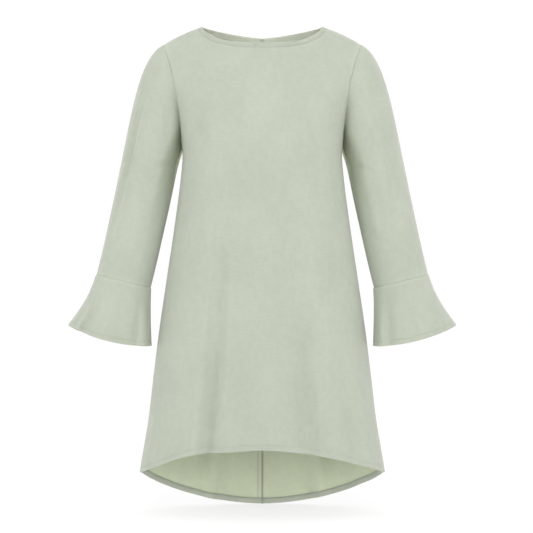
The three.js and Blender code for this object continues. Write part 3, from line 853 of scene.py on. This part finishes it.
def make_sleeve(name, hand, sizes):
    """One sleeve: head, arm, underarm seam and the edges that are sewn to the body and the cuff."""
    angles = round_angles(sizes.sleeve_columns)
    run = np.concatenate([HEAD_STEPS, np.linspace(*HEAD_ROWS), np.linspace(*ARM_ROWS), ARM_END_STEPS])
    base = sleeve_points(hand, angles, run)
    base[..., 1] += armpit_fold(angles, grid_lengths(base)[0])
    cloth = Cloth(base, hand, closed=True)
    down, round_it = grid_lengths(base)
    from_end = down[-1] - down
    edges = np.minimum(np.minimum(down, from_end), from_ends(round_it))
    # Painted shade along the seams, with their dips.
    cloth.pull("seam", edges, sizes.seam_dip)
    cloth.sink(sizes.pucker * puckers("sleeve_end", round_it, from_end, hand, SLEEVE_GATHER))
    cloth.sink(sizes.pucker * puckers("sleeve_head", round_it, down, 2 + hand))
    cloth.sink(arm_creases(hand, angles, run))
    # Painted light beside the seam to the cuff.
    cloth.paint_light(from_end, PAINTED_LIGHT_REACH["sleeve"])
    # Painted shade, olive, on the inner side of the sleeve near the armpit, where it meets the body.
    inside = ramp(angles % 360, *PAINTED_SHADE_START) * ramp(angles % 360, *PAINTED_SHADE_END)
    cloth.shelter = inside[None, :] * near(down, PAINTED_SHADE_REACH)
    cloth.open_edges("left", "right", "start", "end")
    cloth.add_lip("start", sizes.lip, -armhole_normal(hand, angles))
    cloth.add_lips(sizes.lip, "end", "left", "right")
    return cloth_object(name, cloth, sizes.thickness, 1 + int(np.argmin(np.abs(run - 1))))


def cuff_rows(hem_depth):
    """Rows of a cuff as distance back from its hem and run."""
    plain = np.append(CUFF_TOP_STEPS, np.linspace(*CUFF_ROWS))
    stitches = hem_depth - STITCH_INSET + np.array(CUFF_STITCH_ROWS)
    back = np.concatenate([np.zeros(len(plain)), stitches, CUFF_LOW_ROWS, [CUFF_BEND]])
    return back, np.append(plain, np.ones(len(back) - len(plain)))


def make_cuff(name, hand, sizes):
    """One bell cuff, from its seam to its turned up hem."""
    angles = round_angles(sizes.sleeve_columns * 5 // 4)
    base = cuff_points(hand, angles, *cuff_rows(sizes.cuff_hem_depth))
    cloth = Cloth(base, hand, closed=True)
    down, round_it = grid_lengths(base)
    from_hem = down[-1] - down + CUFF_BEND
    from_seam = from_ends(round_it)
    from_stitch = np.abs(from_hem - sizes.cuff_hem_depth + STITCH_INSET)
    # Painted shade along the seams and the hem stitches, with their dips.
    cloth.pull("seam", np.minimum(down, from_seam), sizes.seam_dip)
    cloth.pull("stitches", from_stitch, sizes.stitch_dip)
    cloth.sink(sizes.pucker * puckers("cuff_seam", round_it, down, 3 + hand))
    cloth.sink(sizes.pucker * puckers("cuff_hem", round_it, from_hem, 1 - hand))
    # Painted light beside the seam to the sleeve and the seam down the cuff.
    cloth.paint_light(np.minimum(CUFF_TOP_LIGHT_NARROWING * down, from_seam), PAINTED_LIGHT_REACH["cuff"])
    cloth.open_edges("left", "right", "start")
    cloth.turn_up("end", HEM_ROWS, CUFF_BEND, sizes.stitch_dip)
    cloth.add_lips(sizes.lip, "start", "left", "right")
    return cloth_object(name, cloth, sizes.thickness)


# ---- Neck binding and centre back allowance ----


def neck_band(bands):
    """Points round the neck from the centre back, over the left shoulder, and back to it."""
    turns = np.arange(0, NECK_COLUMN + COLUMN_STEP / 2, COLUMN_STEP) / NECK_COLUMN
    front = np.concatenate([-turns[:0:-1], turns])
    round_it = [("back", -turns[:-1]), ("front", front), ("back", turns[-2::-1])]
    lines = []
    for side, turn in round_it:
        x, z = neck_point(side, np.abs(turn)[None, :], bands[:, None])
        lines.append(body_point(side, np.sign(turn)[None, :] * x, z))
    return np.concatenate(lines, axis=1)


def make_binding(name, sizes):
    """The folded strip round the neck, joined at the centre back. Its inner side covers the seam."""
    bend = sizes.binding_thickness / 2
    bands = np.array([*BINDING_BANDS, bend / BINDING_WIDTH])
    base = neck_band(bands)
    cloth = Cloth(base, 1)
    down, round_it = grid_lengths(base)
    from_stitch = np.abs(bands - BINDING_STITCH)[:, None] * BINDING_WIDTH
    raised = sizes.binding_raised * np.clip((1 - bands) / BINDING_STEP, 0, 1)[:, None]
    # Painted shade along the centre back join and the stitches, with their dips; along the seam to the
    # body, painted shade only.
    cloth.pull("binding_seam", from_ends(round_it), sizes.seam_dip)
    cloth.pull("binding_seam", down, 0)
    cloth.pull("binding_stitches", from_stitch, sizes.stitch_dip)
    cloth.sink(BINDING_PUCKER["share"] * sizes.pucker * ripple(round_it, BINDING_PUCKER["wave"]) - raised)
    cloth.open_edges("left", "right", "start")
    cloth.turn_up("end", len(bands), bend)
    cloth.add_lips(bend * BINDING_LIP, "start")
    cover = Cloth(neck_band(1 + np.array([*BINDING_COVER[::-1], 0])), 1)
    inwards = 2 * bend + BINDING_CLEAR
    for points, normals in zip(cover.points[-2::-1], cover.normals[-2::-1]):
        cloth.add("end", points - normals * inwards, normals, np.zeros(len(points)))
    thickness = sizes.binding_thickness / BINDING_LAYERS
    return cloth_object(name, cloth, thickness, 0, BINDING_SIDES, len(bands) + len(BINDING_COVER))


def make_allowance(name, sizes):
    """The two seam allowances at the centre back, pressed to the left and neatened together."""
    across = -np.array([*ALLOWANCE_COLUMNS, sizes.allowance_width])
    bottom = HEM_CENTRE["back"] + sizes.hem_depth + ALLOWANCE_LIFT
    cover = BINDING_WIDTH * (1 + BINDING_COVER[-1])
    top = NECK_POINT[1] - NECK_DROP["back"] - cover - ALLOWANCE_CLEAR
    z, x = np.meshgrid(np.linspace(bottom, top, ALLOWANCE_ROWS), across, indexing="ij")
    cloth = Cloth(body_point("back", x, z), 1)
    from_seam = np.abs(x)
    wave = ripple(z, ALLOWANCE_WAVE["wave"]) * np.clip(from_seam / ALLOWANCE_COLUMNS[-1], 0, 1)
    cloth.sink(sizes.thickness * 2 + ALLOWANCE_CLEAR + ALLOWANCE_WAVE["height"] * wave)
    # Painted shadow: strong in the groove along the centre back seam and lighter at the allowance's free
    # edge, with both edges rounded.
    cloth.pull("allowance_seam", from_seam, -ALLOWANCE_ROUND["seam"])
    cloth.pull("allowance_edge", sizes.allowance_width - from_seam, -ALLOWANCE_ROUND["edge"])
    cloth.facing = -1
    return cloth_object(name, cloth, sizes.thickness, materials=["sage_wrong_side"])


# ---- Materials ----


class Value:
    """A number in a material, which can be used in sums."""

    def __init__(self, shader, socket):
        self.shader = shader
        self.socket = socket

    def maths(self, operation, *inputs):
        node = self.shader.node("ShaderNodeMath", {"operation": operation}, dict(enumerate(inputs)))
        return Value(self.shader, node.outputs[0])

    def __add__(self, other):
        return self.maths("ADD", self, other)

    def __sub__(self, other):
        return self.maths("SUBTRACT", self, other)

    def __mul__(self, other):
        return self.maths("MULTIPLY", self, other)

    def __rsub__(self, other):
        return self.maths("SUBTRACT", other, self)

    __radd__ = __add__
    __rmul__ = __mul__

    def spread(self, low, high):
        """This number from 0 to 1, moved to lie between two others."""
        return self * (high - low) + low

    def between(self, low, high):
        """0 below one value, 1 above another, and smooth from one to the other."""
        node = self.shader.node(
            "ShaderNodeMapRange", {"interpolation_type": "SMOOTHSTEP"}, {0: self, 1: low, 2: high}
        )
        return Value(self.shader, node.outputs[0])


class Shader:
    """The nodes of one material."""

    def __init__(self, name):
        self.material = bpy.data.materials.new(name)
        self.material.use_nodes = True
        self.tree = self.material.node_tree
        self.tree.nodes.clear()

    def node(self, kind, settings=None, inputs=None):
        """Any node: its type, its settings, and the values or links of its sockets."""
        node = self.tree.nodes.new(kind)
        for name, value in (settings or {}).items():
            setattr(node, name, value)
        for name, value in (inputs or {}).items():
            if isinstance(value, Value):
                value = value.socket
            if isinstance(value, bpy.types.NodeSocket):
                self.tree.links.new(value, node.inputs[name])
            else:
                node.inputs[name].default_value = value
        return node

    def place(self, scale, flat):
        """Coordinates on the cut cloth, or in the dress, times a scale for each axis."""
        if flat:
            source = self.node("ShaderNodeUVMap", {"uv_map": "cut"}).outputs["UV"]
        else:
            source = self.node("ShaderNodeTexCoord").outputs["Object"]
        node = self.node("ShaderNodeVectorMath", {"operation": "MULTIPLY"}, {0: source, 1: scale})
        return node.outputs[0]

    def noise(self, grain):
        """Cloudy noise from 0 to 1, of one of the grains."""
        scale, detail, roughness, flat, distortion = GRAINS[grain]
        node = self.node(
            "ShaderNodeTexNoise",
            inputs={
                "Vector": self.place(scale, flat),
                "Scale": 1.0,
                "Detail": detail,
                "Roughness": roughness,
                "Distortion": distortion,
            },
        )
        return Value(self, node.outputs["Fac"])

    def attribute(self, name):
        return Value(self, self.node("ShaderNodeAttribute", {"attribute_name": name}).outputs["Fac"])

    def mix(self, factor, first, second, blend="MIX"):
        """A colour between two, by a factor."""
        settings = {"data_type": "RGBA", "blend_type": blend}
        return self.node("ShaderNodeMix", settings, {0: factor, 6: first, 7: second}).outputs[2]

    def finish(self, colour, roughness, height, distance, constants):
        """A surface, from its colour, its roughness and the height of its grain."""
        bump_inputs = {"Height": height, "Distance": distance, "Strength": 1.0}
        normal = self.node("ShaderNodeBump", inputs=bump_inputs)
        inputs = {"Base Color": colour, "Roughness": roughness, "Normal": normal.outputs[0], **constants}
        surface = self.node("ShaderNodeBsdfPrincipled", None, inputs)
        output = self.node("ShaderNodeOutputMaterial", None, {"Surface": surface.outputs[0]})
        output.is_active_output = True
        return self.material


def shade(colour, share):
    """A colour made lighter or darker."""
    return (*(min(1.0, channel * share) for channel in colour), 1.0)


def weighted(values, shares):
    """The sum of some values, each times its share."""
    total = values[0] * shares[0]
    for value, share in zip(values[1:], shares[1:]):
        total = total + value * share
    return total


def cloth_material(name, colour, grain=0.00012, contrast=1.0, painted_seam_shade=0.93):
    """Brushed crepe: mottled at two sizes, with a short upright nap, painted shade along its seams, painted
    light beside them and on turned hems, and painted shade under the arms.
    """
    shader = Shader(name)
    clouds = shader.noise("clouds").between(*CLOUD_EDGES)
    mottle = shader.noise("mottle").between(*MOTTLE_EDGES)
    nap = shader.noise("nap")
    crepe = shader.noise("crepe")
    slub = shader.noise("slub").between(*MOTTLE_EDGES)
    tone = weighted((clouds, mottle, slub, nap), TONE_SHARES)
    tones = (shade(colour, 1 - TONE_RANGE * contrast), shade(colour, 1 + TONE_RANGE * contrast))
    cloudy = shader.mix(tone, *tones)
    seam = shader.attribute("seam")
    # Painted shade along seams and stitches, then painted light beside seams and on turned hems, then olive
    # painted shade inside the sleeves by the armpit.
    worn = shader.mix(seam * (1 - painted_seam_shade), cloudy, shade(colour, 0.0))
    worn = shader.mix(seam * PAINTED_LIGHT_SHARE, worn, shade(colour, PAINTED_LIGHT_TONE))
    worn = shader.mix(shader.attribute("shelter"), worn, PAINTED_SHADE_TINT, "MULTIPLY")
    roughness = weighted((nap, mottle), (0.5, 0.5)).spread(*CLOTH_ROUGHNESS)
    height = weighted((crepe, nap, mottle), HEIGHT_SHARES)
    return shader.finish(worn, roughness, height, grain, CLOTH_FINISH)


def thread_material(name, colour):
    """Twisted sewing thread with a slight shine."""
    shader = Shader(name)
    twist = shader.noise("twist")
    hue = shader.mix(twist, *(shade(colour, tone) for tone in THREAD_TONES))
    return shader.finish(hue, twist.spread(*THREAD_ROUGHNESS), twist, THREAD_GRAIN, THREAD_FINISH)


def floor_material(name, colour):
    """Matt studio paper, lit from below so that shadows on it stay soft."""
    shader = Shader(name)
    fibre = shader.noise("fibre")
    hue = shader.mix(fibre, *(shade(colour, tone) for tone in PAPER_TONES))
    return shader.finish(hue, fibre.spread(*PAPER_ROUGHNESS), fibre, PAPER_GRAIN, PAPER_FINISH)


# Materials: what makes each, the setting of its colour, and the grain, contrast and painted seam shade of a
# cloth.
MATERIALS = {
    "sage_cloth": (cloth_material, "cloth"),
    "sage_wrong_side": (cloth_material, "wrong_side", 0.00018, 0.8, 0.85),
    "sage_binding": (cloth_material, "binding", 0.0001, 0.8),
    "sage_binding_inside": (cloth_material, "binding_inside", 0.0001, 0.8),
    "sage_thread": (thread_material, "thread"),
    "studio_paper": (floor_material, "floor"),
}


def material(name):
    """A material of the dress, made the first time it is asked for."""
    maker, colour, *settings = MATERIALS[name]
    found = bpy.data.materials.get(name)
    return found or maker(name, getattr(bpy.context.scene.dress_colours, colour), *settings)


# ---- Stitches ----


def stitch_row(name, path, normals, pitch):
    """A row of stitches along a path, each a small rounded length of thread lying on the cloth."""
    steps = np.linalg.norm(np.diff(path, axis=0), axis=-1)
    along = np.append(0, np.cumsum(steps))
    middles = np.arange(pitch / 2, along[-1], pitch)

    def at(values, places):
        return np.stack([np.interp(places, along, values[:, axis]) for axis in range(3)], axis=-1)

    middle = at(path, middles)
    length = at(path, np.minimum(middles + pitch / 3, along[-1])) - at(path, middles - pitch / 3)
    ahead = unit(length)
    up = unit(at(normals, middles))
    beside = unit(np.cross(up, ahead))
    up = np.cross(ahead, beside)
    bm = bmesh.new()
    bmesh.ops.create_icosphere(bm, subdivisions=1, radius=1)
    shape = np.array([vert.co[:] for vert in bm.verts])
    shape = shape * (pitch * STITCH_REACH, STITCH_WIDTH / 2, STITCH_WIDTH / 3)
    faces = np.array([[vert.index for vert in face.verts] for face in bm.faces])
    bm.free()
    axes = np.stack([ahead, beside, up], axis=1)
    points = middle[:, None, :] + shape[None, :, :] @ axes
    order = (faces[None] + np.arange(len(middles))[:, None, None] * len(shape)).reshape(-1, 3)
    mesh = bpy.data.meshes.new(name)
    mesh.from_pydata(points.reshape(-1, 3).tolist(), [], order.tolist())
    mesh.shade_smooth()
    mesh.materials.append(material("sage_thread"))
    return put(name, mesh)


# ---- Settings ----


def length_property(name, description, default, **limits):
    return FloatProperty(name=name, description=description, default=default, subtype="DISTANCE", **limits)


def colour_property(name, description, default):
    return FloatVectorProperty(
        name=name, description=description, default=default, min=0, max=1, size=3, subtype="COLOR"
    )


class DressSizes(bpy.types.PropertyGroup):
    """Sizes of the cloth and its sewing."""

    thickness: length_property("Cloth", "Thickness of the cloth", 0.0012, min=0.0005, max=0.003)
    hem_depth: length_property("Hem", "Depth of the turned up hem", 0.0105)
    cuff_hem_depth: length_property("Cuff hem", "Depth of the turned up hem of a cuff", 0.010)
    seam_dip: length_property("Seam dip", "How far a seam pulls the cloth in", 0.0002)
    stitch_dip: length_property("Stitch dip", "How far a row of stitches pulls the cloth in", 0.00025)
    lip: length_property("Turned edge", "How far a sewn edge turns inwards", 0.0021)
    pucker: length_property("Pucker", "Height of the puckers along hems and seams", 0.0003)
    stitch_pitch: length_property("Stitch", "Distance from stitch to stitch", 0.003, min=0.0015)
    binding_thickness: length_property("Binding", "Thickness of the folded neck binding", 0.0024)
    binding_raised: length_property("Binding raised", "How far the binding stands proud", 0.0004)
    allowance_width: length_property("Allowance", "Width of the centre back allowance", 0.0088)
    sleeve_columns: IntProperty(
        name="Sleeve columns", description="Columns of the grid round a sleeve", default=96, min=24, max=200
    )


class DressColours(bpy.types.PropertyGroup):
    """Colours of the cloth, the thread and the stage."""

    cloth: colour_property("Cloth", "Right side of the sage cloth", (0.362, 0.389, 0.326))
    # Painted light: paler than the right side so the dim inside of the dress reads lighter, and tinted
    # olive like its shade.
    wrong_side: colour_property("Wrong side", "Wrong side of the sage cloth", (0.550, 0.590, 0.460))
    binding: colour_property("Binding", "Neck binding", (0.345, 0.370, 0.310))
    # Painted light: paler than the binding so the shaded inside of the neck reads lighter.
    binding_inside: colour_property("Binding inside", "Inner side of the neck binding", (0.60, 0.635, 0.53))
    thread: colour_property("Thread", "Sewing thread", (0.38, 0.415, 0.335))
    floor: colour_property("Floor", "Studio paper", (0.3, 0.3, 0.3))


# ---- Operators ----


def sewn(piece, node):
    """Attaches a piece to the root it rides on, and hides the solid it stands for."""
    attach(piece, "root")
    if node:
        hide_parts(node)
    return piece


class DRESS_OT_front(bpy.types.Operator):
    """Make the front of the body"""

    bl_idname = "dress.front"
    bl_label = "Front"

    def execute(self, context):
        piece = make_panel("front_cloth", "front", full_columns(), context.scene.dress_sizes)
        sewn(piece, "front_body")
        return {"FINISHED"}


class DRESS_OT_backs(bpy.types.Operator):
    """Make the two halves of the back"""

    bl_idname = "dress.backs"
    bl_label = "Backs"

    def execute(self, context):
        half = half_columns(seam_at_centre=True)
        for name, columns in (("left", -half[::-1]), ("right", half)):
            piece = make_panel(f"back_{name}_cloth", "back", columns, context.scene.dress_sizes)
            sewn(piece, f"back_{name}")
        return {"FINISHED"}


class DRESS_OT_sleeves(bpy.types.Operator):
    """Make the two sleeves"""

    bl_idname = "dress.sleeves"
    bl_label = "Sleeves"

    def execute(self, context):
        for side, hand in HANDS:
            piece = make_sleeve(f"sleeve_{side}_cloth", hand, context.scene.dress_sizes)
            sewn(piece, f"sleeve_{side}")
        return {"FINISHED"}


class DRESS_OT_cuffs(bpy.types.Operator):
    """Make the two bell cuffs"""

    bl_idname = "dress.cuffs"
    bl_label = "Cuffs"

    def execute(self, context):
        for side, hand in HANDS:
            piece = make_cuff(f"cuff_{side}_cloth", hand, context.scene.dress_sizes)
            sewn(piece, f"cuff_{side}")
        return {"FINISHED"}


class DRESS_OT_neck_binding(bpy.types.Operator):
    """Make the folded binding round the neck"""

    bl_idname = "dress.neck_binding"
    bl_label = "Neck binding"

    def execute(self, context):
        piece = make_binding("neck_binding_cloth", context.scene.dress_sizes)
        sewn(piece, "neck_binding")
        return {"FINISHED"}


class DRESS_OT_allowance(bpy.types.Operator):
    """Make the seam allowance inside the centre back"""

    bl_idname = "dress.allowance"
    bl_label = "Centre back allowance"

    def execute(self, context):
        piece = make_allowance("back_allowance_cloth", context.scene.dress_sizes)
        sewn(piece, "back_seam_allowance")
        return {"FINISHED"}


class DRESS_OT_stitches(bpy.types.Operator):
    """Sew the rows of stitches at the hems and the neck"""

    bl_idname = "dress.stitches"
    bl_label = "Stitches"

    def execute(self, context):
        sizes = context.scene.dress_sizes
        half = half_columns()
        for side, name, columns in (
            ("front", "front", full_columns()),
            ("back", "back_left", -half[::-1]),
            ("back", "back_right", half),
        ):
            lift = sizes.hem_depth - STITCH_INSET + BESIDE_STITCH
            base = Cloth(panel_points(side, columns, lift, np.zeros(3)), -SIGN[side])
            self.sew(f"{name}_hem", base, HEM_BEND, sizes)
        for side, hand in HANDS:
            back = sizes.cuff_hem_depth - STITCH_INSET - BESIDE_STITCH
            points = cuff_points(hand, round_angles(STITCH_ANGLES), back, np.ones(3))
            self.sew(f"cuff_{side}_hem", Cloth(points, hand, closed=True), CUFF_BEND, sizes)
        base = Cloth(neck_band(BINDING_STITCH + BESIDE_NECK_STITCH), 1)
        base.points += base.normals * sizes.binding_raised
        self.sew("neck", base, None, sizes)
        return {"FINISHED"}

    def sew(self, name, base, bend, sizes):
        """Stitches along the middle row of a strip, and inside its hem if it has one."""
        path, normals = base.points[1], base.normals[1]
        sunk = sizes.stitch_dip * STITCH_SINK
        outside = path - normals * sunk
        sewn(stitch_row(f"{name}_stitches", outside, normals, sizes.stitch_pitch), None)
        if bend:
            inside = path - normals * (2 * bend - sunk)
            piece = stitch_row(f"{name}_inner_stitches", inside, -normals, sizes.stitch_pitch)
            sewn(piece, None)


class DRESS_OT_stage(bpy.types.Operator):
    """Set the floor, the lights and the camera"""

    bl_idname = "dress.stage"
    bl_label = "Stage"

    def execute(self, context):
        scene = context.scene
        bm = bmesh.new()
        bmesh.ops.create_grid(bm, x_segments=1, y_segments=1, size=FLOOR_HALF)
        bmesh.ops.translate(bm, verts=bm.verts, vec=(0, 0, FLOOR_HEIGHT))
        mesh = bpy.data.meshes.new("studio_floor")
        bm.to_mesh(mesh)
        bm.free()
        mesh.materials.append(material("studio_paper"))
        floor = put("studio_floor", mesh)
        world = bpy.data.worlds.new("studio")
        world.use_nodes = True
        world.node_tree.nodes["Background"].inputs["Color"].default_value = (1, 1, 1, 1)
        world.node_tree.nodes["Background"].inputs["Strength"].default_value = WORLD_LIGHT
        scene.world = world
        for name, place, size, power in STUDIO_LIGHTS:
            lamp = bpy.data.lights.new(name, "AREA")
            lamp.shape = "RECTANGLE"
            lamp.size, lamp.size_y = size
            lamp.energy = power
            light = put(name, lamp)
            light.location = place
            aim = Vector(LIGHT_TARGET) - Vector(place)
            light.rotation_euler = aim.to_track_quat("-Z", "Y").to_euler()
        lens = bpy.data.cameras.new("camera")
        lens.sensor_width = CAMERA_SENSOR
        lens.lens = CAMERA_LENS
        scene.camera = put("camera", lens)
        scene.camera.location = CAMERA_PLACE
        scene.camera.rotation_euler = (np.pi / 2, 0, 0)
        scene.view_settings.view_transform = "Standard"
        return {"FINISHED"}


class DRESS_PT_panel(bpy.types.Panel):
    """Sizes, colours and steps of the dress"""

    bl_idname = "DRESS_PT_panel"
    bl_label = "Shift dress"
    bl_space_type = "VIEW_3D"
    bl_region_type = "UI"
    bl_category = "Dress"

    def draw(self, context):
        for group in (context.scene.dress_sizes, context.scene.dress_colours):
            for name in group.__annotations__:
                self.layout.prop(group, name)
        for step in STEPS:
            self.layout.operator(step.bl_idname)


STEPS = (
    DRESS_OT_front,
    DRESS_OT_backs,
    DRESS_OT_sleeves,
    DRESS_OT_cuffs,
    DRESS_OT_neck_binding,
    DRESS_OT_allowance,
    DRESS_OT_stitches,
    DRESS_OT_stage,
)
CLASSES = (DressSizes, DressColours, *STEPS, DRESS_PT_panel)


def register():
    for one in CLASSES:
        bpy.utils.register_class(one)
    bpy.types.Scene.dress_sizes = PointerProperty(type=DressSizes)
    bpy.types.Scene.dress_colours = PointerProperty(type=DressColours)


def unregister():
    del bpy.types.Scene.dress_sizes
    del bpy.types.Scene.dress_colours
    for one in reversed(CLASSES):
        bpy.utils.unregister_class(one)


def main():
    """Builds the dress and its stage."""
    register()
    bpy.ops.dress.front()
    bpy.ops.dress.backs()
    bpy.ops.dress.sleeves()
    bpy.ops.dress.cuffs()
    bpy.ops.dress.neck_binding()
    bpy.ops.dress.allowance()
    bpy.ops.dress.stitches()
    bpy.ops.dress.stage()


if __name__ == "__main__":
    main()
